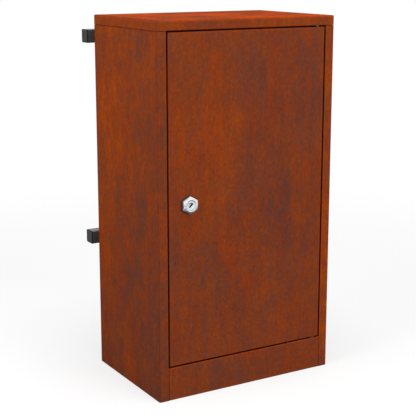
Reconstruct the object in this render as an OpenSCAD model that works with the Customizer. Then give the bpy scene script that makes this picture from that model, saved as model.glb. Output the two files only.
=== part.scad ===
// A steel letter box with a hinged, locked door at the front, a mail slot with a weather
// flap at the back, and two square tube rails behind it that fix it to a wall or a fence.
// Millimetres. +Z is up, the door faces -Y, and the origin is the centre of the base.

/* [Body] */
// Width of the box
body_w = 330; // [260:1:420]
// Depth of the box, front to back, without its rails
body_d = 220; // [170:1:300]
// Height of the box
body_h = 605; // [480:1:760]
// Thickness of the sheet
sheet = 1.5; // [1.2:0.1:2]
// Outer radius of the upright corner folds
corner_r = 3; // [2.5:0.1:5]
// Outer radius of the tighter folds round the doorway
fold_r = 1.9; // [1.9:0.1:2.4]
// Width of the strip that frames the doorway on each side
flange_w = 16.9; // [14:0.1:24]
// Depth of the lip that is folded in behind the left strip
flange_return = 14.5; // [10:0.5:14.5]

/* [Top and base] */
// Height of the top's rim
cap_rim = 16; // [16:0.5:26]
// Height of the lip that the top fits over, above its seam
cap_lip_h = 12; // [6:0.5:13]
// Height of the plinth under the door
plinth_h = 55; // [35:1:90]
// Height of the base's side and rear upturns
upturn_h = 15; // [8:1:25]
// How far a door stop overlaps the edge of the door
stop_overlap = 11; // [9:0.5:16]
// Diameter of a drain hole in the base
drain_d = 8; // [4:0.5:12]
// Distance from a drain hole to the nearest walls
drain_inset = 35; // [25:1:50]
// Gap between welded pieces
weld_gap = 0.1; // [0.05:0.05:0.2]
// Gap that shows under the top's rim
seam_gap = 0.5; // [0.1:0.1:0.8]
// Gap that shows at each end of the plinth
plinth_gap = 0.4; // [0.1:0.1:0.8]

/* [Door] */
// Gap all round the door
door_gap = 2.1; // [1.8:0.1:3]
// Depth of the door's folded edges
door_depth = 16; // [15:0.5:20]
// Width of the lip folded in behind the door's edges
door_lip = 10; // [9:0.5:14]
// Gap between the door's back and a door stop
stop_gap = 2; // [1.5:0.1:3]
// Diameter of a rubber bumper
bumper_d = 8; // [6:0.5:9]

/* [Hinge] */
// Diameter of a hinge pin
pin_d = 5; // [4:0.1:6]
// Distance from the hinge line to the door's edge
hinge_inset = 9.9; // [9:0.1:12]
// Length of a pin inside its bush
pin_reach = 8.5; // [6:0.5:9]
// Length of the threaded part of a pin inside the door
pin_thread_l = 18; // [12:0.5:24]
// Play between a shaft and its bore, on the radius
running_gap = 0.06; // [0.02:0.01:0.09]
// Wall of a hinge bush
bush_wall = 1.5; // [1:0.1:2]
// Thickness of a hinge bush's flange
bush_flange_t = 1; // [0.8:0.1:1.1]

/* [Lock] */
// Distance from the lock's centre to the door's edge
lock_inset = 35.5; // [30:0.5:50]
// How far the lock sits under the door's middle
lock_drop = 3; // [-100:1:100]
// Size of the lock's collar across its flats
collar_af = 25; // [22:0.5:28]
// How far the collar stands out of the door
collar_h = 8; // [6:0.5:10]
// Diameter of the collar's round face
collar_face_d = 19.5; // [17:0.1:21]
// Slope of the chamfer round the collar's face
chamfer_slope = 30; // [15:1:45]
// Thickness of the rubber gasket under the collar
gasket_t = 0.8; // [0.5:0.1:1.5]
// How far the gasket shows round the collar
gasket_rim = 1.2; // [0.5:0.1:2]
// Diameter of the lock's threaded barrel
barrel_d = 18; // [16:0.5:19]
// Distance across the flats of the barrel
barrel_flats = 16; // [14:0.5:17]
// Diameter of the turning plug
plug_d = 13; // [10:0.5:13]
// Diameter of the plug's head, in the collar
plug_head_d = 15.6; // [14:0.2:16.6]
// Length and width of the keyway
keyway = [8.6, 3]; // [1:0.1:10]
// Turn of the keyway from level
keyway_turn = 42; // [0:1:180]
// Width of the cam's arm
cam_w = 14; // [12:0.5:18]
// Thickness of the cam
cam_t = 2; // [1.5:0.1:2.5]
// How far the cam reaches behind the left strip's lip
cam_catch = 8; // [5:0.5:10]
// Side of the plug's square end
square_end = 7; // [6:0.1:8]

/* [Rails] */
// Outside size of a rail
rail_size = 22; // [20:0.5:30]
// Wall of a rail
rail_wall = 1.5; // [1.2:0.1:2.5]
// Outer corner radius of a rail
rail_r = 2; // [1.6:0.1:3]
// Distance from the upper rail's centre to the top of the box
upper_rail_drop = 35.5; // [30:0.5:45]
// Distance between the rails' centres
rail_pitch = 344; // [250:1:380]
// How far a rail and its end plugs stand past each side
rail_overhang = 12.3; // [8:0.1:30]
// Thickness of an end plug's cap
plug_cap_t = 2.2; // [1.5:0.1:4]
// Length of an end plug inside its rail
plug_stub_l = 11; // [8:0.5:16]
// Distance from a mounting hole to the side of the box
mount_inset = 40; // [30:1:48]
// Diameter of a mounting hole
mount_hole_d = 8.5; // [6.5:0.1:9]
// Distance from a rail bolt to the side of the box
rail_bolt_inset = 80; // [65:1:110]
// Diameter of a rail bolt
bolt_d = 6; // [5:0.5:8]

/* [Mail slot] */
// Distance from the slot's end to the side of the box
slot_margin = 32.5; // [25:0.5:50]
// Height of the mail slot
slot_h = 34; // [28:1:40]
// Distance from the flap's hinge line down to the slot
slot_drop = 15; // [10:0.5:20]
// How far the flap covers each end of the slot
flap_overlap = 12.5; // [8:0.5:14]
// How far the flap covers the slot below it
flap_cover = 8; // [5:0.5:12]
// Diameter of the flap's hinge rod
rod_d = 5; // [4:0.1:6]
// Gap between the flap's roll and the upper rail
flap_rail_gap = 7; // [5:0.5:12]
// Gap between the flap and the back of the box
flap_gap = 0.9; // [0.5:0.1:1.5]
// Thickness of a flap bracket
bracket_t = 2; // [1.5:0.1:3]

/* [Hidden] */
$fn = 64;
past = 1; // how far a cut runs past a face

rust = "sienna";
dark_rust = "saddlebrown";
zinc = "silver";
black = "#2b2b2d";

// Planes and heights of the box
side_x = body_w / 2;
front_y = -body_d / 2;
back_y = body_d / 2;
seam_z = body_h - cap_rim;

// The doorway and the door in it
doorway_x = side_x - flange_w;
door_x = doorway_x - door_gap;
door_z = [plinth_h + door_gap, seam_z - door_gap];
door_back_y = front_y + door_depth;
door_w = 2 * door_x;
door_h = door_z[1] - door_z[0];
door_mid_z = (door_z[0] + door_z[1]) / 2;
header_reach = 28; // depth of the folded strip above and below the door, before its stop
stop_y = door_back_y + stop_gap;

// The hinge line, and the circle that the door's edge sweeps round it
hinge_x = door_x - hinge_inset;
hinge_y = front_y + door_depth / 2;
sweep_r = norm([hinge_inset, door_depth / 2]);
stop_end_x = hinge_x - sweep_r;
thread_d = pin_d + 1;
thread_gap = 0.05; // play between a thread and its nut
pin_nut_af = thread_d * 5 / 3;
pin_nut_t = thread_d * 5 / 6;
bush_r = pin_d / 2 + running_gap + bush_wall;
bush_flange_r = min(bush_r + 2, door_depth / 2 - fold_r); // its room is up to the fold in front
bush_hole_r = bush_r + 0.05;
thrust_gap = 0.1; // play between the lower pin's collar and its bush

// The lock, from the door's face at 0 and outwards as positive
lock_x = -door_x + lock_inset;
lock_z = door_mid_z - lock_drop;
barrel_end = -(door_depth + 0.5);
plug_face = collar_h - 0.5;
head_seat = collar_h - 4.6; // the step in the collar that the plug's head runs on
head_gap = 0.2; // the groove round the plug's head
washer_t = 1;
lock_nut_t = 4;
cam_face = barrel_end - 0.1;
cam_back = cam_face - cam_t;
cam_reach = lock_inset + door_gap + sheet + cam_catch;
cam_screw_d = 4;
cam_washer_t = 0.8;
cam_head_t = 2.6;

// The rails and what holds them
rail_z = [body_h - upper_rail_drop, body_h - upper_rail_drop - rail_pitch];
rail_y = back_y + rail_size / 2;
rail_end = side_x + rail_overhang;
mount_x = side_x - mount_inset;
bolt_x = side_x - rail_bolt_inset;
bolt_hole_d = bolt_d + 0.6;
bolt_af = bolt_d * 5 / 3;
bolt_head_t = bolt_d * 2 / 3;
bolt_washer_t = 1.6;
weld_nut_t = bolt_d * 5 / 6;

// The mail slot, and the flap on its rod
roll_r = rod_d / 2 + running_gap + sheet;
rod_y = back_y + flap_gap + roll_r;
rod_z = rail_z[0] - rail_size / 2 - flap_rail_gap - roll_r;
slot_x = side_x - slot_margin;
slot_z = [rod_z - slot_drop - slot_h, rod_z - slot_drop];
flap_x = slot_x + flap_overlap;
flap_z = slot_z[0] - flap_cover;
flap_face_y = rod_y + roll_r;
flap_depth = flap_face_y - back_y - flap_gap;
bracket_x = flap_x + 0.8;
bracket_r = rod_d / 2 + 3.5;
clip_gap = 0.2;
clip_t = 1.6;
rod_end_x = bracket_x + bracket_t + clip_gap + clip_t + 1.2;

// ---- Shapes that several pieces share ----

// A flat outline drawn in Y and Z, run along X
module along_x(x0, x1) {
    translate([x0, 0, 0]) rotate([90, 0, 90]) linear_extrude(x1 - x0) children();
}

// A flat outline drawn in X and Z, run along Y
module along_y(y0, y1) {
    translate([0, y1, 0]) rotate([90, 0, 0]) linear_extrude(y1 - y0) children();
}

// A flat outline drawn in X and Y, run along Z
module along_z(z0, z1) {
    translate([0, 0, z0]) linear_extrude(z1 - z0) children();
}

// A round hole or bar along Z
module round_z(x, y, z0, z1, r) {
    translate([x, y, z0]) cylinder(h = z1 - z0, r = r);
}

// A round hole or bar along Y
module round_y(x, z, y0, y1, r) {
    translate([x, y0, z]) rotate([-90, 0, 0]) cylinder(h = y1 - y0, r = r);
}

// A round hole or bar along X
module round_x(y, z, x0, x1, r) {
    translate([x0, y, z]) rotate([0, 90, 0]) cylinder(h = x1 - x0, r = r);
}

// A hexagon with two flats along its first direction
module hexagon(af) {
    circle(r = af / 2 / cos(30), $fn = 6);
}

// A nut or washer from its outline and its bore
module ring(h, r) {
    difference() {
        linear_extrude(h) children();
        translate([0, 0, -past]) cylinder(h = h + 2 * past, r = r);
    }
}

// One straight leg of a folded sheet
module leg(from, to, t) {
    d = to - from;
    translate(from) rotate(atan2(d.y, d.x)) translate([0, -t / 2]) square([norm(d), t]);
}

// One square fold of a sheet, round the corner where two legs would meet
module fold(corner, inwards, onwards, t, r) {
    m = r - t / 2;
    centre = corner + (onwards - inwards) * m;
    far = centre + (inwards - onwards) * r;
    low = [min(centre.x, far.x), min(centre.y, far.y)];
    intersection() {
        difference() {
            translate(centre) circle(r);
            translate(centre) circle(r - t);
        }
        translate(low) square(r);
    }
}

// The cross-section of a folded sheet, from the middle line of its legs and the outer radius
// of each of its folds
module folded(points, t, radii) {
    last = len(points) - 1;
    dirs = [for (i = [0 : last - 1]) (points[i + 1] - points[i]) / norm(points[i + 1] - points[i])];
    for (i = [0 : last - 1]) {
        start = i == 0 ? 0 : radii[i - 1] - t / 2;
        stop = i == last - 1 ? 0 : radii[i] - t / 2;
        leg(points[i] + dirs[i] * start, points[i + 1] - dirs[i] * stop, t);
    }
    for (i = [1 : last - 1]) {
        fold(points[i], dirs[i - 1], dirs[i], t, radii[i - 1]);
    }
}

// A rectangle centred on the origin, with its corners rounded
module round_rect(w, h, r) {
    square([w - 2 * r, h], center = true);
    square([w, h - 2 * r], center = true);
    for (x = [-1, 1], y = [-1, 1]) {
        translate([x * (w / 2 - r), y * (h / 2 - r)]) circle(r);
    }
}

// A slab under the line y = 0, with its two upper corners rounded
module slab(w, depth, r) {
    translate([-w / 2, -depth]) square([w, depth - r]);
    translate([r - w / 2, -depth]) square([w - 2 * r, depth]);
    for (x = [-1, 1]) {
        translate([x * (w / 2 - r), -r]) circle(r);
    }
}

// A block under the plane z = 0, with the four edges of its top face rounded
module tray_block(w, h, depth, r) {
    intersection() {
        along_y(-h / 2, h / 2) slab(w, depth, r);
        along_x(-w / 2, w / 2) slab(h, depth, r);
    }
}

// A shallow tray folded from sheet, with its face up and its open side down
module tray(w, h, depth, t, r) {
    difference() {
        tray_block(w, h, depth, r);
        translate([0, 0, -t]) tray_block(w - 2 * t, h - 2 * t, depth + past, r - t);
    }
}

// ---- The housing ----

half = sheet / 2; // from a sheet's face to its middle line

// The box's wall: one sheet wrapped round the left side, the back and the right side, with
// a strip folded in at each side of the doorway and a lip behind the left strip
module wall_outline() {
    folded([[-doorway_x - half, front_y + flange_return], [-doorway_x - half, front_y + half],
        [-side_x + half, front_y + half], [-side_x + half, back_y - half],
        [side_x - half, back_y - half], [side_x - half, front_y + half],
        [doorway_x, front_y + half]],
        sheet, [fold_r, corner_r, corner_r, corner_r, corner_r]);
}

// The same wall beside the plinth, where the left strip has no lip
module plain_wall_outline() {
    folded([[-doorway_x, front_y + half], [-side_x + half, front_y + half],
        [-side_x + half, back_y - half], [side_x - half, back_y - half],
        [side_x - half, front_y + half], [doorway_x, front_y + half]],
        sheet, [corner_r, corner_r, corner_r, corner_r]);
}

// A strip inside the wall, as far in as asked, that stops short of the header
module inner_strip_outline(inset, t, r) {
    x = side_x - inset - t / 2;
    y = back_y - inset - t / 2;
    folded([[-x, front_y + header_reach], [-x, y], [x, y], [x, front_y + header_reach]], t, [r, r]);
}

module body_shell() {
    color(rust) difference() {
        union() {
            along_z(0, plinth_h) plain_wall_outline();
            along_z(plinth_h, seam_z - seam_gap) wall_outline();
            // the joggled lip that the top fits over
            along_z(seam_z - 6, seam_z - 1) inner_strip_outline(sheet - weld_gap, sheet, corner_r - sheet);
            along_z(seam_z - 2, seam_z + cap_lip_h)
                inner_strip_outline(sheet + weld_gap, sheet, corner_r - sheet);
        }
        translate([-slot_x, back_y - sheet - past, slot_z[0]])
            cube([2 * slot_x, sheet + 2 * past, slot_h]);
        for (z = rail_z, x = [-1, 1]) {
            round_y(x * bolt_x, z, back_y - sheet - past, back_y + past, bolt_hole_d / 2);
            round_y(x * mount_x, z, back_y - sheet - past, back_y + past, mount_hole_d / 2);
        }
    }
}

// The folded strip across the doorway: a face, a shelf behind it and a door stop
module header_outline(face_z, shelf_z, stop_z) {
    folded([[front_y + half, face_z], [front_y + half, shelf_z], [stop_y + half, shelf_z],
        [stop_y + half, stop_z]], sheet, [fold_r, fold_r]);
}

// The hinge end of a door stop, cut away for the door's edge to swing past
module stop_relief(z0, z1) {
    translate([stop_end_x, stop_y - fold_r, z0])
        cube([doorway_x - stop_end_x + past, header_reach, z1 - z0]);
}

module cap_block(inset, r) {
    w = body_w - 2 * inset;
    d = body_d - 2 * inset;
    top = body_h - inset;
    intersection() {
        translate([0, 0, top]) tray_block(w, d, top - seam_z, r);
        along_z(seam_z, top) round_rect(w, d, r);
    }
}

module top_cap() {
    shelf_z = seam_z + half;
    color(rust) difference() {
        union() {
            difference() {
                cap_block(0, corner_r);
                translate([0, 0, -0.001]) cap_block(sheet, corner_r - sheet);
                translate([-doorway_x, front_y - past, seam_z - past])
                    cube([2 * doorway_x, sheet + past + 0.01, fold_r + past]);
            }
            along_x(-doorway_x, doorway_x)
                header_outline(seam_z + fold_r + half, shelf_z, door_z[1] - stop_overlap);
        }
        stop_relief(seam_z - 3 * stop_overlap, seam_z);
        round_z(hinge_x, hinge_y, seam_z - past, seam_z + sheet + past, bush_hole_r);
    }
}

module bottom_pan() {
    x = side_x - sheet - weld_gap;
    y = back_y - sheet - weld_gap;
    plinth_x = doorway_x - plinth_gap;
    color(dark_rust) difference() {
        union() {
            along_x(-plinth_x, plinth_x)
                folded([[stop_y + half, door_z[0] + stop_overlap], [stop_y + half, plinth_h - half],
                    [front_y + half, plinth_h - half], [front_y + half, half], [y - half, half],
                    [y - half, upturn_h]], sheet, [fold_r, fold_r, fold_r, fold_r]);
            along_y(front_y + corner_r + weld_gap, y - 2 * fold_r)
                folded([[half - x, upturn_h], [half - x, half], [x - half, half], [x - half, upturn_h]],
                    sheet, [fold_r, fold_r]);
            along_x(2 * fold_r - x, x - 2 * fold_r)
                folded([[0, half], [y - half, half], [y - half, upturn_h]], sheet, [fold_r]);
        }
        stop_relief(plinth_h, plinth_h + 3 * stop_overlap);
        round_z(hinge_x, hinge_y, plinth_h - sheet - past, plinth_h + past, bush_hole_r);
        for (sx = [-1, 1], sy = [-1, 1]) {
            round_z(sx * (side_x - drain_inset), sy * (back_y - drain_inset), -past, sheet + past, drain_d / 2);
        }
    }
}

// Rubber bumpers on the door stops, one above and one below
module door_bumpers() {
    color("#1c1c1c") for (z = [door_z[0] + stop_overlap - bumper_d / 2 - 0.5,
            door_z[1] - stop_overlap + bumper_d / 2 + 0.5]) {
        translate([-door_x + 2 * bumper_d, stop_y, z]) rotate([90, 0, 0]) rotate_extrude()
            polygon([[0, 0], [bumper_d / 2, 0], [bumper_d / 2 - 0.8, stop_gap - 0.3], [0, stop_gap - 0.3]]);
    }
}

// ---- The door ----

// The door's own directions: its face at 0, outwards as positive
module at_door() {
    translate([0, front_y, door_mid_z]) rotate([90, 0, 0]) children();
}

module at_lock() {
    translate([lock_x, front_y, lock_z]) rotate([90, 0, 0]) children();
}

// A round bar with two flats
module flatted(d, flats) {
    intersection() {
        circle(d = d);
        square([flats, d], center = true);
    }
}

module door_panel() {
    cavity = door_depth - 2 * sheet;
    color(rust) difference() {
        at_door() difference() {
            tray_block(door_w, door_h, door_depth, fold_r);
            translate([0, 0, -sheet])
                tray_block(door_w - 2 * sheet, door_h - 2 * sheet, cavity, fold_r - sheet);
            translate([0, 0, -door_depth - past]) linear_extrude(cavity)
                square([door_w - 2 * door_lip, door_h - 2 * door_lip], center = true);
        }
        at_lock() translate([0, 0, -sheet - past]) linear_extrude(sheet + 2 * past)
            flatted(barrel_d + 0.2, barrel_flats + 0.2);
        round_z(hinge_x, hinge_y, door_z[0] - past, door_z[0] + sheet + past, thread_d / 2 + 0.1);
        round_z(hinge_x, hinge_y, door_z[1] - sheet - past, door_z[1] + past, thread_d / 2 + 0.1);
    }
}

// A threaded hinge pin with its bare tip up, from the door's edge at 0
module hinge_pin() {
    tip = 0.5;
    bare_l = door_gap + pin_reach - tip;
    driver_slot = 1.2;
    difference() {
        union() {
            translate([0, 0, -pin_thread_l]) cylinder(h = pin_thread_l, d = thread_d);
            cylinder(h = bare_l, d = pin_d);
            translate([0, 0, bare_l]) cylinder(h = tip, r1 = pin_d / 2, r2 = pin_d / 2 - tip);
        }
        translate([-thread_d, -driver_slot / 2, -pin_thread_l - past])
            cube([2 * thread_d, driver_slot, past + driver_slot]);
    }
}

module upper_hinge_pin() {
    color(zinc) translate([hinge_x, hinge_y, door_z[1]]) hinge_pin();
}

// The lower pin has a collar that bears on its bush and carries the door
module lower_hinge_pin() {
    color(zinc) translate([hinge_x, hinge_y, door_z[0]]) mirror([0, 0, 1]) {
        hinge_pin();
        cylinder(h = door_gap - bush_flange_t - thrust_gap, d = thread_d + 2.5);
    }
}

module hinge_pin_nuts() {
    color(zinc) for (z = [door_z[0] + sheet, door_z[1] - sheet - pin_nut_t]) {
        translate([hinge_x, hinge_y, z]) rotate(90)
            ring(pin_nut_t, thread_d / 2 + thread_gap) rotate(90) hexagon(pin_nut_af);
    }
}

// A flanged bush, from the top of the sheet that carries it at 0, with its flange up
module hinge_bush(flange_t, above, below) {
    difference() {
        union() {
            cylinder(h = flange_t, r = bush_flange_r);
            translate([0, 0, -below]) cylinder(h = below + above, r = bush_r);
        }
        translate([0, 0, -below - past])
            cylinder(h = below + above + 2 * past, r = pin_d / 2 + running_gap);
    }
}

module upper_hinge_bush() {
    color("whitesmoke") translate([hinge_x, hinge_y, seam_z + sheet])
        hinge_bush(bush_flange_t, pin_reach - sheet + 0.5, sheet);
}

module lower_hinge_bush() {
    color("whitesmoke") translate([hinge_x, hinge_y, plinth_h])
        hinge_bush(bush_flange_t, bush_flange_t, pin_reach + 0.5);
}

// ---- The lock ----

module lock_body() {
    outer = collar_af / 2 / cos(30);
    chamfer = (outer - collar_face_d / 2) * tan(chamfer_slope);
    head_r = plug_head_d / 2 + head_gap;
    ring_w = 1;
    ring_drop = 0.4;
    color("lightgray") at_lock() difference() {
        union() {
            intersection() {
                translate([0, 0, gasket_t]) linear_extrude(collar_h - gasket_t)
                    rotate(30) hexagon(collar_af);
                rotate_extrude() polygon([[0, 0], [outer, 0], [outer, collar_h - chamfer],
                    [collar_face_d / 2, collar_h], [0, collar_h]]);
            }
            translate([0, 0, barrel_end]) linear_extrude(gasket_t - barrel_end + past)
                flatted(barrel_d, barrel_flats);
        }
        translate([0, 0, barrel_end - past])
            cylinder(h = collar_h - barrel_end + 2 * past, r = plug_d / 2 + running_gap);
        translate([0, 0, head_seat]) cylinder(h = collar_h - head_seat + past, r = head_r);
        // the dished ring round the plug's face
        translate([0, 0, collar_h - ring_drop])
            cylinder(h = 2 * ring_drop, r1 = head_r, r2 = head_r + 2 * ring_w);
    }
}

// A rubber sheet between the collar and the door, with its six corners rounded
module lock_gasket() {
    af = collar_af + 2 * gasket_rim;
    color(black) at_lock() linear_extrude(gasket_t) difference() {
        intersection() {
            rotate(30) hexagon(af);
            circle(r = af / 2 / cos(30) - gasket_rim / 2);
        }
        flatted(barrel_d + 0.2, barrel_flats + 0.2);
    }
}

module lock_washer() {
    color(zinc) at_lock() translate([0, 0, -sheet - washer_t])
        ring(washer_t, barrel_d / 2 + 0.1) circle(d = barrel_d + 7);
}

module lock_nut() {
    color(zinc) at_lock() translate([0, 0, -sheet - washer_t - lock_nut_t])
        ring(lock_nut_t, barrel_d / 2 + thread_gap) rotate(30) hexagon(collar_af);
}

module lock_plug() {
    rear = cam_back + 0.1;
    key_depth = 14;
    dish_depth = 0.8;
    dish_r = keyway[0] / 2 + 0.8;
    bevel = 0.3;
    screw_hole_l = 10;
    color("gainsboro") at_lock() difference() {
        union() {
            translate([0, 0, barrel_end]) cylinder(h = plug_face - 1 - barrel_end, d = plug_d);
            translate([0, 0, head_seat + 0.1])
                cylinder(h = plug_face - bevel - head_seat - 0.1, d = plug_head_d);
            translate([0, 0, plug_face - bevel])
                cylinder(h = bevel, r1 = plug_head_d / 2, r2 = plug_head_d / 2 - bevel);
            translate([-square_end / 2, -square_end / 2, rear])
                cube([square_end, square_end, barrel_end - rear + past]);
        }
        rotate(keyway_turn) translate([-keyway[0] / 2, -keyway[1] / 2, plug_face - key_depth])
            cube([keyway[0], keyway[1], key_depth + past]);
        // the shallow dish that leads a key in
        translate([0, 0, plug_face - dish_depth])
            cylinder(h = 2 * dish_depth, r1 = dish_r / 2, r2 = 1.5 * dish_r);
        translate([0, 0, rear - past]) cylinder(h = screw_hole_l + past, d = cam_screw_d + 2 * thread_gap);
    }
}

// The cam hangs upwards from the plug when the lock is open, and turns to the left to lock
module lock_cam() {
    end_r = cam_w / 2;
    hole = square_end + 2 * thread_gap;
    color(zinc) at_lock() translate([0, 0, cam_back]) linear_extrude(cam_t) difference() {
        union() {
            circle(r = square_end + 2);
            translate([-end_r, 0]) square([cam_w, cam_reach - end_r]);
            translate([0, cam_reach - end_r]) circle(r = end_r);
        }
        square(hole, center = true);
    }
}

module cam_washer() {
    color(zinc) at_lock() translate([0, 0, cam_back - cam_washer_t])
        ring(cam_washer_t, cam_screw_d / 2 + 0.1) circle(d = square_end + 4);
}

// A screw with a round head and a cross recess
module cam_screw() {
    head_r = cam_screw_d;
    cross = [3.6, 0.9, 1.4];
    head_z = cam_back - cam_washer_t;
    color(zinc) at_lock() difference() {
        union() {
            translate([0, 0, head_z - cam_head_t]) cylinder(h = 0.8, r1 = head_r - 1, r2 = head_r);
            translate([0, 0, head_z - cam_head_t + 0.8]) cylinder(h = cam_head_t - 0.8, r = head_r);
            translate([0, 0, head_z - past]) cylinder(h = 8 + past + cam_washer_t, d = cam_screw_d);
        }
        for (turn = [0, 90]) {
            rotate(turn) translate([-cross[0] / 2, -cross[1] / 2, head_z - cam_head_t - past])
                cube([cross[0], cross[1], cross[2] + past]);
        }
    }
}

// ---- The rails ----

module rail(z) {
    inner = rail_size - 2 * rail_wall;
    tube_end = rail_end - plug_cap_t;
    color(black) difference() {
        along_x(-tube_end, tube_end) translate([rail_y, z]) difference() {
            round_rect(rail_size, rail_size, rail_r);
            round_rect(inner, inner, rail_r - rail_wall);
        }
        for (x = [-1, 1]) {
            round_y(x * mount_x, z, back_y - past, back_y + rail_size + past, mount_hole_d / 2);
            round_y(x * bolt_x, z, back_y - past, back_y + rail_wall + past, bolt_hole_d / 2);
        }
    }
}

module upper_rail() {
    rail(rail_z[0]);
}

module lower_rail() {
    rail(rail_z[1]);
}

// A plastic plug in the end of a rail: a crowned cap and a hollow stub with ribs
module end_plug(side, z) {
    inner = rail_size - 2 * rail_wall;
    stub = inner - 1.2;
    crown = 0.6;
    color("#222224") translate([side * rail_end, rail_y, z]) rotate([0, side * 90, 0]) {
        translate([0, 0, -crown]) linear_extrude(crown) round_rect(rail_size - 1.6, rail_size - 1.6, rail_r);
        translate([0, 0, -plug_cap_t]) linear_extrude(plug_cap_t - crown)
            round_rect(rail_size, rail_size, rail_r);
        difference() {
            translate([0, 0, -plug_cap_t - plug_stub_l]) linear_extrude(plug_stub_l + 0.1)
                square(stub, center = true);
            translate([0, 0, -plug_cap_t - plug_stub_l - past]) linear_extrude(plug_stub_l + past)
                square(stub - 3, center = true);
        }
        for (rib = [3, 6.5]) {
            translate([0, 0, -plug_cap_t - rib]) linear_extrude(0.8) difference() {
                round_rect(inner - 0.1, inner - 0.1, rail_r - rail_wall);
                square(stub - 1, center = true);
            }
        }
    }
}

module upper_left_end_plug() {
    end_plug(-1, rail_z[0]);
}

module upper_right_end_plug() {
    end_plug(1, rail_z[0]);
}

module lower_left_end_plug() {
    end_plug(-1, rail_z[1]);
}

module lower_right_end_plug() {
    end_plug(1, rail_z[1]);
}

// What repeats at each rail bolt, from the inside face of the back at 0, outwards as positive
module at_rail_bolts() {
    for (z = rail_z, x = [-1, 1]) {
        translate([x * bolt_x, back_y - sheet, z]) rotate([-90, 0, 0]) children();
    }
}

module rail_bolts() {
    shank_l = bolt_washer_t + sheet + rail_wall + weld_nut_t + 2;
    color(zinc) at_rail_bolts() {
        translate([0, 0, -bolt_washer_t - bolt_head_t]) linear_extrude(bolt_head_t) hexagon(bolt_af);
        translate([0, 0, -bolt_washer_t - 0.1]) cylinder(h = shank_l, d = bolt_d);
    }
}

module rail_washers() {
    color(zinc) at_rail_bolts() translate([0, 0, -bolt_washer_t])
        ring(bolt_washer_t, bolt_d / 2 + 0.2) circle(d = 2 * bolt_d);
}

// Nuts welded inside the rail's front wall
module rail_weld_nuts() {
    color(zinc) at_rail_bolts() translate([0, 0, sheet + rail_wall])
        ring(weld_nut_t, bolt_d / 2 + thread_gap) hexagon(bolt_af);
}

// ---- The mail flap ----

// The flap: a shallow tray over the slot, with its top edge rolled round the hinge rod
module mail_flap() {
    h = rod_z - flap_z;
    lip_top = rod_z - roll_r - 2;
    color(rust) {
        difference() {
            translate([0, flap_face_y, flap_z + h / 2]) rotate([-90, 0, 0])
                tray(2 * flap_x, h, flap_depth, sheet, fold_r);
            // the tray has no lip above this line, only its flat face
            translate([-flap_x - past, back_y, lip_top])
                cube([2 * (flap_x + past), flap_face_y - sheet - back_y, h]);
            translate([-flap_x - past, back_y, rod_z]) cube([2 * (flap_x + past), body_d, h]);
            translate([-flap_x - past, back_y, rod_z - fold_r - 1])
                cube([2 * (flap_x + past), body_d, h]);
        }
        along_x(-flap_x, flap_x) flap_roll();
    }
}

// The rolled edge: a ring open by a narrow slit, and the flat that runs down from it
module flap_roll() {
    slit = 0.8;
    difference() {
        translate([rod_y, rod_z]) circle(r = roll_r);
        translate([rod_y, rod_z]) circle(r = rod_d / 2 + running_gap);
        translate([rod_y + rod_d / 4, rod_z - roll_r - past]) square([slit, roll_r + past]);
    }
    translate([flap_face_y - sheet, rod_z - fold_r - 1.2]) square([sheet, fold_r + 1.2]);
}

module flap_hinge_rod() {
    color(zinc) round_x(rod_y, rod_z, -rod_end_x, rod_end_x, rod_d / 2);
}

// A lug welded on edge to the back, with a hole for the rod
module flap_bracket(x0) {
    color(dark_rust) along_x(x0, x0 + bracket_t) difference() {
        union() {
            translate([rod_y, rod_z]) circle(r = bracket_r);
            translate([back_y, rod_z - bracket_r]) square([rod_y - back_y, 2 * bracket_r]);
        }
        translate([back_y - bracket_r, rod_z - bracket_r]) square([bracket_r, 2 * bracket_r]);
        translate([rod_y, rod_z]) circle(d = rod_d + 0.1);
    }
}

module left_flap_bracket() {
    flap_bracket(-bracket_x - bracket_t);
}

module right_flap_bracket() {
    flap_bracket(bracket_x);
}

// Push-on clips that keep the rod in its brackets
module rod_clips() {
    clip_x = bracket_x + bracket_t + clip_gap;
    clip_r = min(rod_d / 2 + 1.5, rod_y - back_y - 0.4);
    color(zinc) for (x = [-clip_x - clip_t, clip_x]) {
        along_x(x, x + clip_t) translate([rod_y, rod_z]) difference() {
            circle(r = clip_r);
            circle(r = rod_d / 2 + thread_gap);
        }
    }
}

body_shell();
top_cap();
bottom_pan();
door_panel();
upper_hinge_pin();
lower_hinge_pin();
hinge_pin_nuts();
upper_hinge_bush();
lower_hinge_bush();
door_bumpers();
lock_body();
lock_gasket();
lock_washer();
lock_nut();
lock_plug();
lock_cam();
cam_washer();
cam_screw();
upper_rail();
lower_rail();
upper_left_end_plug();
upper_right_end_plug();
lower_left_end_plug();
lower_right_end_plug();
rail_bolts();
rail_washers();
rail_weld_nuts();
mail_flap();
flap_hinge_rod();
left_flap_bracket();
right_flap_bracket();
rod_clips();
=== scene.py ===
import math

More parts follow.
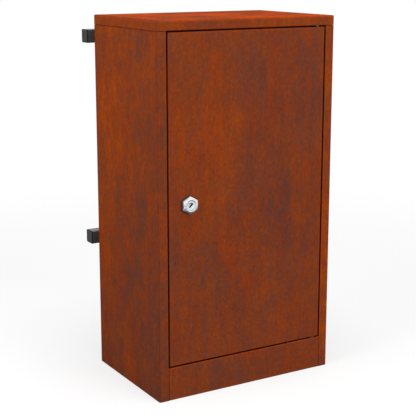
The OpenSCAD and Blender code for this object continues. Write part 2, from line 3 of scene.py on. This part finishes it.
import bpy
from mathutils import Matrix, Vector


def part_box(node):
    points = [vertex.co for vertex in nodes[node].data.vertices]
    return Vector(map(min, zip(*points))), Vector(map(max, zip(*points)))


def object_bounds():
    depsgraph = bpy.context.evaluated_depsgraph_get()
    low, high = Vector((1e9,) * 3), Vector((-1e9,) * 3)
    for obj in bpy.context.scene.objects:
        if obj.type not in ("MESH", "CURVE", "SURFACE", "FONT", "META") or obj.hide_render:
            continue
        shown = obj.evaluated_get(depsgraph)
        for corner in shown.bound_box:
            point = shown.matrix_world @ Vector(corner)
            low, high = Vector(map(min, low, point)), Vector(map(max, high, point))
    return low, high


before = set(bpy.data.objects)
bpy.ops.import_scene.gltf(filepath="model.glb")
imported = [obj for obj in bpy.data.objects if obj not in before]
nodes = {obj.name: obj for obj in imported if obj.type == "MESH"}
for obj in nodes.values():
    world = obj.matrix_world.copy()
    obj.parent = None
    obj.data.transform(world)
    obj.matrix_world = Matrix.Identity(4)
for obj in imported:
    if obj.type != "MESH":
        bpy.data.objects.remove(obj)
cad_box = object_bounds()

MM = 0.001
low, high = cad_box


# ---- Materials: values as expressions, other nodes through one method ----


class Wire:
    """One value, colour or vector in a material. Arithmetic on it adds Math nodes."""

    def __init__(self, finish, socket):
        self.finish = finish
        self.socket = socket

    def math(self, operation, *values):
        return self.finish.node("ShaderNodeMath", {"operation": operation}, dict(enumerate(values)))

    def __add__(self, other):
        return self.math("ADD", self, other)

    def __radd__(self, other):
        return self.math("ADD", other, self)

    def __sub__(self, other):
        return self.math("SUBTRACT", self, other)

    def __rsub__(self, other):
        return self.math("SUBTRACT", other, self)

    def __mul__(self, other):
        return self.math("MULTIPLY", self, other)

    def __rmul__(self, other):
        return self.math("MULTIPLY", other, self)

    def __truediv__(self, other):
        return self.math("DIVIDE", self, other)

    def __rtruediv__(self, other):
        return self.math("DIVIDE", other, self)

    def __abs__(self):
        return self.math("ABSOLUTE", self)

    def least(self, other):
        return self.math("MINIMUM", self, other)

    def most(self, other):
        return self.math("MAXIMUM", self, other)

    def ramp(self, start, stop):
        """0 at start and 1 at stop, with a smooth change between them."""
        return self.finish.node(
            "ShaderNodeMapRange",
            {"interpolation_type": "SMOOTHSTEP"},
            {"Value": self, "From Min": start, "From Max": stop},
        )


class Finish:
    """A material under construction."""

    def __init__(self, name, holder=None):
        self.material = holder or bpy.data.materials.new(name)
        self.material.use_nodes = True
        self.tree = self.material.node_tree
        self.tree.nodes.clear()
        self.place = self.node("ShaderNodeTexCoord", out="Object")

    def node(self, kind, settings=None, inputs=None, out=0):
        made = self.tree.nodes.new(kind)
        for name, value in (settings or {}).items():
            if name == "stops":
                self.fill_ramp(made.color_ramp, value)
            else:
                setattr(made, name, value)
        for name, value in (inputs or {}).items():
            if isinstance(value, Wire):
                self.tree.links.new(value.socket, made.inputs[name])
            else:
                made.inputs[name].default_value = value
        return Wire(self, made.outputs[out]) if made.outputs else made

    def fill_ramp(self, ramp, stops):
        while len(ramp.elements) < len(stops):
            ramp.elements.new(1.0)
        for element, (position, colour) in zip(ramp.elements, stops):
            element.position = position
            element.color = (*colour, 1)

    def vector(self, operation, *values, out=0):
        return self.node("ShaderNodeVectorMath", {"operation": operation}, dict(enumerate(values)), out)

    def along(self, axis):
        """The place along X, Y or Z, in metres."""
        return self.node("ShaderNodeSeparateXYZ", None, {0: self.place}, out=axis)

    def facing(self, axis):
        """How far the surface faces along X, Y or Z."""
        normal = self.node("ShaderNodeTexCoord", out="Normal")
        return self.node("ShaderNodeSeparateXYZ", None, {0: normal}, out=axis)

    def colours(self, stops, value):
        return self.node("ShaderNodeValToRGB", {"stops": stops}, {0: value})

    def blend(self, amount, below, above, how="MIX"):
        settings = {"data_type": "RGBA", "blend_type": how}
        return self.node("ShaderNodeMix", settings, {0: amount, 6: paint(below), 7: paint(above)}, out=2)

    def noise(self, size, stretch=(1, 1, 1), offset=(0, 0, 0), detail=2.0, rough=0.5, bend=0.0):
        """Noise from 0 to 1, with its largest blots about as wide as size, in metres."""
        spot = self.vector("MULTIPLY", self.vector("ADD", self.place, offset), stretch)
        return self.node(
            "ShaderNodeTexNoise",
            {"noise_dimensions": "3D"},
            {"Vector": spot, "Scale": 1 / size, "Detail": detail, "Roughness": rough, "Distortion": bend},
        )

    def bump(self, height, depth):
        """A normal from a height of 0 to 1, which stands for depth in metres."""
        return self.node("ShaderNodeBump", None, {"Height": height, "Strength": 1.0, "Distance": depth})

    def surface(self, **inputs):
        """The finished material, from the shader's inputs by name, with _ for a space."""
        named = {name.replace("_", " "): value for name, value in inputs.items()}
        shader = self.node("ShaderNodeBsdfPrincipled", None, named)
        self.node("ShaderNodeOutputMaterial", None, {"Surface": shader})
        return self.material


def paint(colour):
    return colour if isinstance(colour, Wire) else (*colour, 1)


# ---- Places on the box ----

door_low, door_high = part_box("door_panel")
shell_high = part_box("body_shell")[1]
DOOR_GAP = 2.1 * MM
DOORWAY = door_high.x + DOOR_GAP
CAP_RIM = 16 * MM
SEAM = high.z - CAP_RIM  # the lower edge of the top's rim
LOCK_FACE = low.y  # the front of the lock's collar


def inside(finish, corners):
    """How far in from a box's faces a place is, along X, Y and Z, in metres."""
    lo, hi = corners
    away = []
    for axis in range(3):
        middle = (lo[axis] + hi[axis]) / 2
        half = (hi[axis] - lo[axis]) / 2
        away.append(half - abs(finish.along(axis) - middle))
    return away


def edge_distance(finish, corners):
    """How far a place on a box-shaped piece is from the nearest edge of its outside, in metres."""
    across, back, up = inside(finish, corners)
    return across.least(back).most(across.most(back).least(up))


def upright_edge_distance(finish, corners):
    """The same, from the nearest of the four upright edges."""
    across, back, up = inside(finish, corners)
    return across.most(back)


def shut_line(finish):
    """Two masks round the door: dirt and painted shade down in its gap, and a painted highlight on the
    bend at the gap's outer side.
    """
    half_w = (door_high.x - door_low.x) / 2
    half_h = (door_high.z - door_low.z) / 2
    middle_z = (door_high.z + door_low.z) / 2
    beside = abs(finish.along(0)) - half_w
    above = abs(finish.along(2) - middle_z) - half_h
    out = beside.most(above)
    behind = finish.along(1) - door_low.y
    deep = behind.ramp(0.8 * MM, 2.2 * MM) * behind.ramp(22 * MM, 17 * MM)
    # dirt and painted shade down in the door's gap
    dirt = deep * out.ramp(-0.7 * MM, -0.2 * MM) * out.ramp(4.5 * MM, 3.4 * MM)
    front = behind.ramp(0.9 * MM, 0.3 * MM)
    # painted highlight on the bend at the gap's outer side
    fold_highlight = front * out.ramp(DOOR_GAP - 0.2 * MM, DOOR_GAP + 0.3 * MM) * out.ramp(5.0 * MM, 2.6 * MM)
    return dirt, fold_highlight


def seams(finish):
    """Darker lines in the thin seams: under the top's rim, and at both ends of the plinth."""
    height = finish.along(2)
    under_rim = abs(height - SEAM).ramp(1.5 * MM, 0.4 * MM)
    ends = abs(abs(finish.along(0)) - DOORWAY).ramp(1.4 * MM, 0.4 * MM)
    plinth = height.ramp(door_low.z - 1 * MM, door_low.z - 3 * MM)
    front = finish.along(1).ramp(door_low.y + 3 * MM, door_low.y + 2 * MM)
    return under_rim.most(ends * plinth * front)


# ---- The rust ----

# noise drawn out downwards, as rain draws rust out
EVEN = (1, 1, 1)
SQUAT = (1, 1, 0.7)
DRAWN = (1, 1, 0.62)
RUN = (1, 1, 0.09)

# the tones of the rust, from its oldest to its newest
TONES = [
    (0.04, (0.112, 0.0400, 0.0310)),  # purple brown
    (0.24, (0.152, 0.0418, 0.0238)),  # dark brown
    (0.42, (0.205, 0.0440, 0.0164)),  # red brown
    (0.61, (0.262, 0.0480, 0.0106)),  # orange brown
    (0.80, (0.335, 0.0560, 0.0066)),  # bright orange
    (1.00, (0.450, 0.0720, 0.0050)),  # vivid orange
]
# orange for the band beside each edge, and for the painted highlight beside the door's gap
EDGE_BAND_AND_HIGHLIGHT_ORANGE = (0.330, 0.058, 0.008)
# brown for the painted edge shade along each edge and each upright corner
EDGE_SHADE_BROWN = (0.110, 0.022, 0.014)
DRIP_BROWN = (0.120, 0.028, 0.012)
# near black for the dirt and painted shade down in the door's gap
GAP_DIRT_AND_SHADE = (0.022, 0.009, 0.006)
# dark brown for the darker lines in the thin seams
SEAM_DARK = (0.050, 0.016, 0.009)

# tints that multiply the colour
TO_OLIVE = (0.97, 1.13, 1.20)
TO_RED = (1.02, 0.89, 0.84)
# a tint for upward faces: partly the rust on the top, partly painted light, as the lit top looks more
# saturated orange
TOP_BLEACH_AND_LIGHT_TINT = (1.03, 0.77, 0.40)

PLAIN_RUST = {
    "warmth": 0.0,  # towards orange
    "cloudy": 2.3,  # contrast of the large blots
    "streaks": 0.95,  # contrast of the thin runs
    "sunny": 0.0,  # towards orange at the hinge side
    "darker_foot": 0.0,  # darker and browner towards the foot
    "band": 0.25,  # orange band beside each edge
    "line": 0.5,  # painted edge shade: a brown line on each edge
    "crease": 0.0,  # painted edge shade: a brown line down each upright edge
    "gap_dirt_and_shade": 0.9,  # dirt and painted shade in the door's gap
    "depth": 1.0,  # depth of the rust's relief
}


def rust_noises(rust, offset):
    """The noises that the rust is made of."""
    other = (offset[0] + 3.1, offset[1], offset[2])
    return {
        "clouds": rust.noise(0.190, DRAWN, offset, detail=8, rough=0.97, bend=0.15),
        "runs": rust.noise(0.030, RUN, offset, detail=6, rough=0.85),
        "grain": rust.noise(0.0050, SQUAT, offset, detail=3, rough=1.0),
        "pools": rust.noise(0.085, EVEN, other, detail=6, rough=0.8),
        "patches": rust.noise(0.070, DRAWN, other, detail=7, rough=1.0),
        "specks": rust.noise(0.0042, SQUAT, other, detail=2, rough=0.8),
    }


def rust_tone(rust, noises, upward, traits):
    """Where the rust is between its oldest tone, 0, and its newest, 1."""
    tone = 0.5 + (noises["clouds"] - 0.5) * traits["cloudy"]
    tone = tone + (noises["runs"] - 0.5) * traits["streaks"]
    tone = tone + (noises["grain"] - 0.5) * 0.3 + traits["warmth"]
    tone = tone + upward * (noises["pools"] - 0.5) * 3.6
    # upward faces lean to brighter orange tones: partly the rust on the top, partly painted light
    tone = tone + upward * 0.12 + rust.along(0).ramp(0.0, high.x) * traits["sunny"]
    # darker and browner towards the foot
    tone = tone + (rust.along(2) / high.z - 0.5) * traits["darker_foot"]
    return tone * 0.8


def rust_colour(rust, noises, upward, traits):
    """The rust's own colour, with patches that lean to olive and to red, and fine speckle."""
    colour = rust.colours(TONES, rust_tone(rust, noises, upward, traits))
    lean = noises["patches"] + (noises["specks"] - 0.5) * 0.30
    colour = rust.blend(lean.ramp(0.50, 0.62), colour, TO_OLIVE, "MULTIPLY")
    colour = rust.blend(lean.ramp(0.50, 0.38), colour, TO_RED, "MULTIPLY")
    # upward faces tinted more saturated orange: partly the rust on the top, partly painted light
    colour = rust.blend(upward, colour, TOP_BLEACH_AND_LIGHT_TINT, "MULTIPLY")
    speckle = 0.62 + noises["grain"] * 0.76
    return rust.blend(1.0, colour, speckle, "MULTIPLY")


def worn_edges(rust, colour, corners, runs, traits):
    """A brown line painted along each edge as edge shade, then an orange band beside it, and painted shade
    down each upright corner.
    """
    uneven = edge_distance(rust, corners) + (runs - 0.5) * (4 * MM)
    colour = rust.blend(uneven.ramp(5.2 * MM, 1.8 * MM) * traits["band"], colour, EDGE_BAND_AND_HIGHLIGHT_ORANGE)
    # painted edge shade along each edge
    colour = rust.blend(uneven.ramp(1.3 * MM, 0.4 * MM) * traits["line"], colour, EDGE_SHADE_BROWN)
    upright = upright_edge_distance(rust, corners)
    # painted edge shade down each upright corner
    return rust.blend(upright.ramp(2.8 * MM, 1.2 * MM) * traits["crease"], colour, EDGE_SHADE_BROWN)


def dirty_lines(rust, colour, corners, upward, traits):
    """Dirt and painted shade in the door's gap, a painted highlight beside it, darker thin seams, and the
    two edges that water leaves the top by.
    """
    dirt, fold_highlight = shut_line(rust)
    # painted highlight on the bend beside the door's gap
    colour = rust.blend(fold_highlight * 0.4, colour, EDGE_BAND_AND_HIGHLIGHT_ORANGE)
    # dirt and painted shade down in the door's gap
    colour = rust.blend(dirt * traits["gap_dirt_and_shade"], colour, GAP_DIRT_AND_SHADE)
    # darker thin seams
    colour = rust.blend(seams(rust) * 0.35, colour, SEAM_DARK)
    lo, hi = corners
    drip_edge = (hi.y - rust.along(1)).least(rust.along(0) - lo.x)
    return rust.blend(drip_edge.ramp(7 * MM, 2 * MM) * upward * 0.7, colour, DRIP_BROWN)


def rusty(name, corners, offset, **own_traits):
    """Weathering steel with a tight, smooth coat of rust, cloudy and drawn out downwards."""
    rust = Finish(name)
    traits = {**PLAIN_RUST, **own_traits}
    noises = rust_noises(rust, offset)
    clouds = noises["clouds"]
    grain = noises["grain"]
    upward = rust.facing(2).ramp(0.3, 0.9)
    colour = rust_colour(rust, noises, upward, traits)
    colour = worn_edges(rust, colour, corners, noises["runs"], traits)
    colour = dirty_lines(rust, colour, corners, upward, traits)
    return rust.surface(
        Base_Color=colour,
        Roughness=0.72 + (clouds - 0.5) * 0.5 + (grain - 0.5) * 0.2,
        Specular_IOR_Level=0.01,
        Normal=rust.bump(grain * 0.6 + clouds * 0.4, 0.22 * MM * traits["depth"]),
    )


# ---- Paint, plastic and rubber ----


def rail_paint(name, corners):
    """Black powder coat, greyer along the tube's edges from wear and a painted edge highlight, with dust
    and a painted sheen on top.
    """
    coat = Finish(name)
    peel = coat.noise(0.0016, detail=2, rough=0.5)
    dust = coat.noise(0.030, (0.4, 1, 1), detail=5, rough=0.7)
    speck = coat.noise(0.0045, detail=3, rough=0.8)
    mottle = dust * 0.4 + speck * 0.6
    colour = coat.colours([(0.3, (0.032, 0.037, 0.039)), (0.7, (0.078, 0.087, 0.091))], mottle)
    # edge wear, with a painted highlight along the tube's edges
    edge_wear_and_highlight = (edge_distance(coat, corners) + (peel - 0.5) * (4 * MM)).ramp(1.6 * MM, 0.2 * MM)
    colour = coat.blend(edge_wear_and_highlight * 0.5, colour, (0.095, 0.094, 0.094))
    # dust on top, with a painted sheen that lightens the top faces
    top_dust_and_sheen = coat.facing(2).ramp(0.5, 0.95)
    colour = coat.blend(top_dust_and_sheen * (0.3 + dust * 0.5), colour, (0.190, 0.185, 0.178))
    return coat.surface(
        Base_Color=colour,
        Roughness=0.42 + (dust - 0.5) * 0.3 + edge_wear_and_highlight * 0.1,
        Specular_IOR_Level=0.35,
        Normal=coat.bump(peel, 0.10 * MM),
    )


def black_plastic(name):
    """Moulded plastic with a fine spark-eroded grain."""
    mould = Finish(name)
    pits = mould.noise(0.0007, detail=2, rough=0.6)
    haze = mould.noise(0.010, detail=4, rough=0.7)
    mottle = haze * 0.5 + mould.noise(0.0045, detail=3, rough=0.8) * 0.5
    colour = mould.colours([(0.38, (0.006, 0.006, 0.006)), (0.62, (0.034, 0.034, 0.034))], mottle)
    return mould.surface(
        Base_Color=colour,
        Roughness=0.55 + (haze - 0.5) * 0.2,
        Specular_IOR_Level=0.20,
        Normal=mould.bump(pits, 0.08 * MM),
    )


def rubber(name):
    """Moulded rubber with a grey bloom."""
    moulded = Finish(name)
    bloom = moulded.noise(0.004, detail=4, rough=0.7)
    colour = moulded.colours([(0.3, (0.014, 0.014, 0.014)), (0.75, (0.034, 0.033, 0.032))], bloom)
    return moulded.surface(
        Base_Color=colour,
        Roughness=0.78 + (bloom - 0.5) * 0.2,
        Specular_IOR_Level=0.3,
        Normal=moulded.bump(bloom, 0.05 * MM),
    )


def nylon(name, stained):
    """A turned bush, browned by the water that runs past it."""
    turned = Finish(name)
    cloud = turned.noise(0.006, detail=4, rough=0.6)
    rings = turned.noise(0.0006, (0.1, 0.1, 1), detail=1)
    clean = turned.colours([(0.3, (0.60, 0.58, 0.51)), (0.7, (0.72, 0.71, 0.66))], cloud)
    brown = cloud.ramp(0.90 - stained, 1.10 - stained)
    return turned.surface(
        Base_Color=turned.blend(brown * 0.9, clean, (0.085, 0.030, 0.014)),
        Roughness=0.45 + brown * 0.3,
        Normal=turned.bump(rings, 0.02 * MM),
    )


# ---- Plated and bare metal ----


def lock_plate(name, shade_depth):
    """Satin plated metal: hairline scratches, painted shade on its undersides, and painted shade in the
    recesses behind the depth given.
    """
    plate = Finish(name)
    hair = plate.noise(0.0009, (1, 1, 0.12), detail=3, rough=0.7)
    haze = plate.noise(0.005, detail=5, rough=0.8)
    dirt = haze.ramp(0.50, 0.66)
    under = plate.facing(2).ramp(-0.10, -0.45)
    shade_start = LOCK_FACE + shade_depth
    recess_shade = plate.along(1).ramp(shade_start, shade_start + 1.6 * MM)
    colour = plate.blend(dirt * 0.65, (0.82, 0.83, 0.85), (0.24, 0.24, 0.25))
    # painted shade on the undersides, deeper where the haze is
    colour = plate.blend(under * (0.62 + dirt * 0.3), colour, (0.10, 0.12, 0.12))
    # painted shade: near black in the recesses behind the given depth
    colour = plate.blend(recess_shade * 0.9, colour, (0.02, 0.02, 0.02))
    return plate.surface(
        Base_Color=colour,
        Metallic=0.58 + dirt * 0.2,
        Roughness=0.18 + dirt * 0.25 + hair * 0.08,
        Normal=plate.bump(hair, 0.008 * MM),
    )


def pin_steel(name, stained):
    """Bare steel pin, stained brown where water runs over it."""
    pin = Finish(name)
    rings = pin.noise(0.0008, (0.1, 0.1, 1), detail=2)
    stain = pin.noise(0.0035, detail=5, rough=0.8)
    brown = stain.ramp(0.75 - stained * 0.6, 0.90 - stained * 0.6)
    steel = pin.colours([(0.3, (0.25, 0.24, 0.23)), (0.7, (0.36, 0.35, 0.34))], rings)
    return pin.surface(
        Base_Color=pin.blend(brown * 0.9, steel, (0.110, 0.036, 0.016)),
        Metallic=0.7 - brown * 0.7,
        Roughness=0.45 + brown * 0.4,
        Normal=pin.bump(rings, 0.02 * MM),
    )


def zinc(name):
    """Bright zinc plate that has gone dull, with a brown stain in places."""
    plate = Finish(name)
    spangle = plate.noise(0.0022, detail=3, rough=0.6)
    stain = plate.noise(0.009, detail=5, rough=0.75)
    brown = stain.ramp(0.54, 0.72)
    clean = plate.colours([(0.3, (0.50, 0.50, 0.49)), (0.7, (0.66, 0.66, 0.64))], spangle)
    return plate.surface(
        Base_Color=plate.blend(brown * 0.6, clean, (0.26, 0.14, 0.075)),
        Metallic=1.0 - brown * 0.5,
        Roughness=0.36 + (spangle - 0.5) * 0.2 + brown * 0.25,
        Normal=plate.bump(spangle, 0.02 * MM),
    )


# ---- Each piece gets its finish ----


def wear(name, material):
    piece = nodes[name]
    piece.data.materials.clear()
    piece.data.materials.append(material)


# offset is each piece's own place in the noise
RUSTY_PIECES = {
    "body_shell": {
        "offset": (0.31, 0.17, 0.05),
        "warmth": 0.13,
        "cloudy": 3.3,
        "streaks": 0.75,
        "sunny": 0.17,
        "darker_foot": 0.10,
        "band": 0.08,
        "crease": 0.35,
    },
    "top_cap": {
        "offset": (1.37, 0.62, 0.90),
        "warmth": 0.24,
        "cloudy": 3.0,
        "streaks": 0.35,
        "line": 0.65,
        "crease": 0.35,
    },
    "bottom_pan": {"offset": (2.11, 0.44, 0.23), "warmth": 0.08},
    "door_panel": {"offset": (0.73, 1.29, 0.41), "warmth": 0.05, "band": 0.10, "line": 0.3, "gap_dirt_and_shade": 0.68},
    "mail_flap": {"offset": (3.05, 0.93, 0.67)},
    "left_flap_bracket": {"offset": (4.20, 0.10, 0.30), "warmth": -0.1, "depth": 1.4},
    "right_flap_bracket": {"offset": (4.90, 0.70, 0.20), "warmth": -0.1, "depth": 1.4},
}
for name, traits in RUSTY_PIECES.items():
    wear(name, rusty("rust_" + name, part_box(name), **traits))

for name in ("upper_rail", "lower_rail"):
    wear(name, rail_paint("paint_" + name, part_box(name)))

wear("upper_hinge_pin", pin_steel("upper_pin_steel", 0.35))
wear("lower_hinge_pin", pin_steel("lower_pin_steel", 0.85))
wear("lock_body", lock_plate("collar_plate", 4.6 * MM))
wear("lock_plug", lock_plate("plug_plate", 1.5 * MM))
wear("upper_hinge_bush", nylon("upper_bush_nylon", 0.4))
wear("lower_hinge_bush", nylon("lower_bush_nylon", 0.8))

SHARED = {
    black_plastic: [
        "upper_left_end_plug", "upper_right_end_plug",
        "lower_left_end_plug", "lower_right_end_plug",
    ],
    # the lock's gasket is black rubber; its rim round the collar also stands in for the shade at the
    # collar's foot
    rubber: ["door_bumpers", "lock_gasket"],
    zinc: [
        "hinge_pin_nuts",
        "lock_washer", "lock_nut", "lock_cam", "cam_washer", "cam_screw",
        "rail_bolts", "rail_washers", "rail_weld_nuts",
        "flap_hinge_rod", "rod_clips",
    ],
}
for make, names in SHARED.items():
    material = make(make.__name__)
    for name in names:
        wear(name, material)


# ---- The studio ----

STUDIO_AIR = 0.42  # the light from all round, on the object
FLOOR_RADIUS = 2.2
FLOOR_FADE = (0.55, 1.6)  # the floor fades into the air between these distances
FLAG_DISTANCE = 260 * MM


def link(thing):
    bpy.context.scene.collection.objects.link(thing)
    return thing


def aim(thing, target):
    direction = Vector(target) - thing.location
    thing.rotation_mode = "QUATERNION"
    thing.rotation_quaternion = direction.to_track_quat("-Z", "Y")


def softbox(name, place, target, width, watts):
    lamp = bpy.data.lights.new(name, "AREA")
    lamp.shape = "RECTANGLE"
    lamp.size = width
    lamp.size_y = width
    lamp.energy = watts
    holder = link(bpy.data.objects.new(name, lamp))
    holder.location = place
    aim(holder, target)
    holder.visible_glossy = False


def seen(finish):
    """1 for what the camera, a reflection or a clear material sees."""
    camera_ray = finish.node("ShaderNodeLightPath", out="Is Camera Ray")
    paths = camera_ray.socket.node.outputs
    glossy_ray = Wire(finish, paths["Is Glossy Ray"])
    passed_ray = Wire(finish, paths["Is Transmission Ray"])
    return camera_ray.most(glossy_ray).most(passed_ray)


def mixed(finish, amount, below, above):
    return finish.node("ShaderNodeMixShader", None, {0: amount, 1: below, 2: above})


def matt(finish, colour):
    return finish.node("ShaderNodeBsdfDiffuse", None, {"Color": (*colour, 1)})


def shown_floor(ground):
    """A white floor that keeps the object's shadow, with a painted shadow, near black, where the box shuts
    it in.
    """
    glow = ground.node("ShaderNodeEmission", None, {"Color": (1, 1, 1, 1), "Strength": 1.0})
    bright = mixed(ground, 0.65, matt(ground, (0.95, 0.95, 0.95)), glow)
    # painted shadow: the floor under the box is near black
    painted_floor_shadow = matt(ground, (0.04, 0.03, 0.025))
    outside = (abs(ground.along(0)) - shell_high.x).most(abs(ground.along(1)) - shell_high.y)
    open_floor = outside.ramp(-1.2 * MM, -0.2 * MM)
    return mixed(ground, open_floor, painted_floor_shadow, bright)


def studio_floor():
    bpy.ops.mesh.primitive_circle_add(vertices=96, radius=FLOOR_RADIUS, fill_type="NGON")
    floor = bpy.context.object
    floor.name = "studio_floor"
    ground = Finish("floor_paint")
    lighting = matt(ground, (0.42, 0.42, 0.42))
    near = mixed(ground, seen(ground), lighting, shown_floor(ground))
    across = ground.vector("LENGTH", ground.vector("MULTIPLY", ground.place, (1, 1, 0)), out="Value")
    clear = ground.node("ShaderNodeBsdfTransparent")
    end = mixed(ground, across.ramp(*FLOOR_FADE), near, clear)
    ground.node("ShaderNodeOutputMaterial", None, {"Surface": end})
    floor.data.materials.append(ground.material)


def dark_flag(name, place, width, depth):
    """A black card that only reflections see, so that plated metal has something dark in it."""
    bpy.ops.mesh.primitive_plane_add(size=1, location=place)
    card = bpy.context.object
    card.name = name
    card.scale = (width, depth, 1)
    black = Finish(name + "_paint")
    black.surface(Base_Color=(0.01, 0.01, 0.01, 1), Roughness=1.0)
    card.data.materials.append(black.material)
    for ray in ("camera", "diffuse", "transmission", "volume_scatter", "shadow"):
        setattr(card, "visible_" + ray, False)


def studio_world():
    air = Finish("studio", bpy.data.worlds.new("studio"))
    bpy.context.scene.world = air.material
    level = STUDIO_AIR + seen(air) * (1 - STUDIO_AIR)
    shine = air.node("ShaderNodeBackground", None, {"Color": (1, 1, 1, 1), "Strength": level})
    air.node("ShaderNodeOutputWorld", None, {"Surface": shine})


def camera():
    """Stands to the left of the front, a little above the top, and looks slightly down."""
    lens = bpy.data.cameras.new("camera")
    lens.lens = 92.84
    lens.sensor_width = 36
    lens.shift_y = -0.03
    holder = link(bpy.data.objects.new("camera", lens))
    holder.location = (-0.9212, -1.5294, 0.6909)
    turn = math.radians(30.78)
    tilt = math.radians(12.32)
    ahead = Vector((math.sin(turn) * math.cos(tilt), math.cos(turn) * math.cos(tilt), -math.sin(tilt)))
    aim(holder, holder.location + ahead)
    bpy.context.scene.camera = holder


studio_floor()
dark_flag("front_flag", (0, low.y - FLAG_DISTANCE, 2 * MM), 0.8, 0.48)
studio_world()
softbox("front_light", (0.9, -3.6, 1.3), (0, 0, 0.3), 1.6, 52)
softbox("left_light", (-1.35, -0.25, 1.15), (-0.15, 0, 0.40), 0.7, 10)
softbox("top_light", (0.0, -0.4, 2.6), (0, 0, 0.6), 1.2, 32)
camera()
bpy.context.scene.view_settings.view_transform = "Standard"
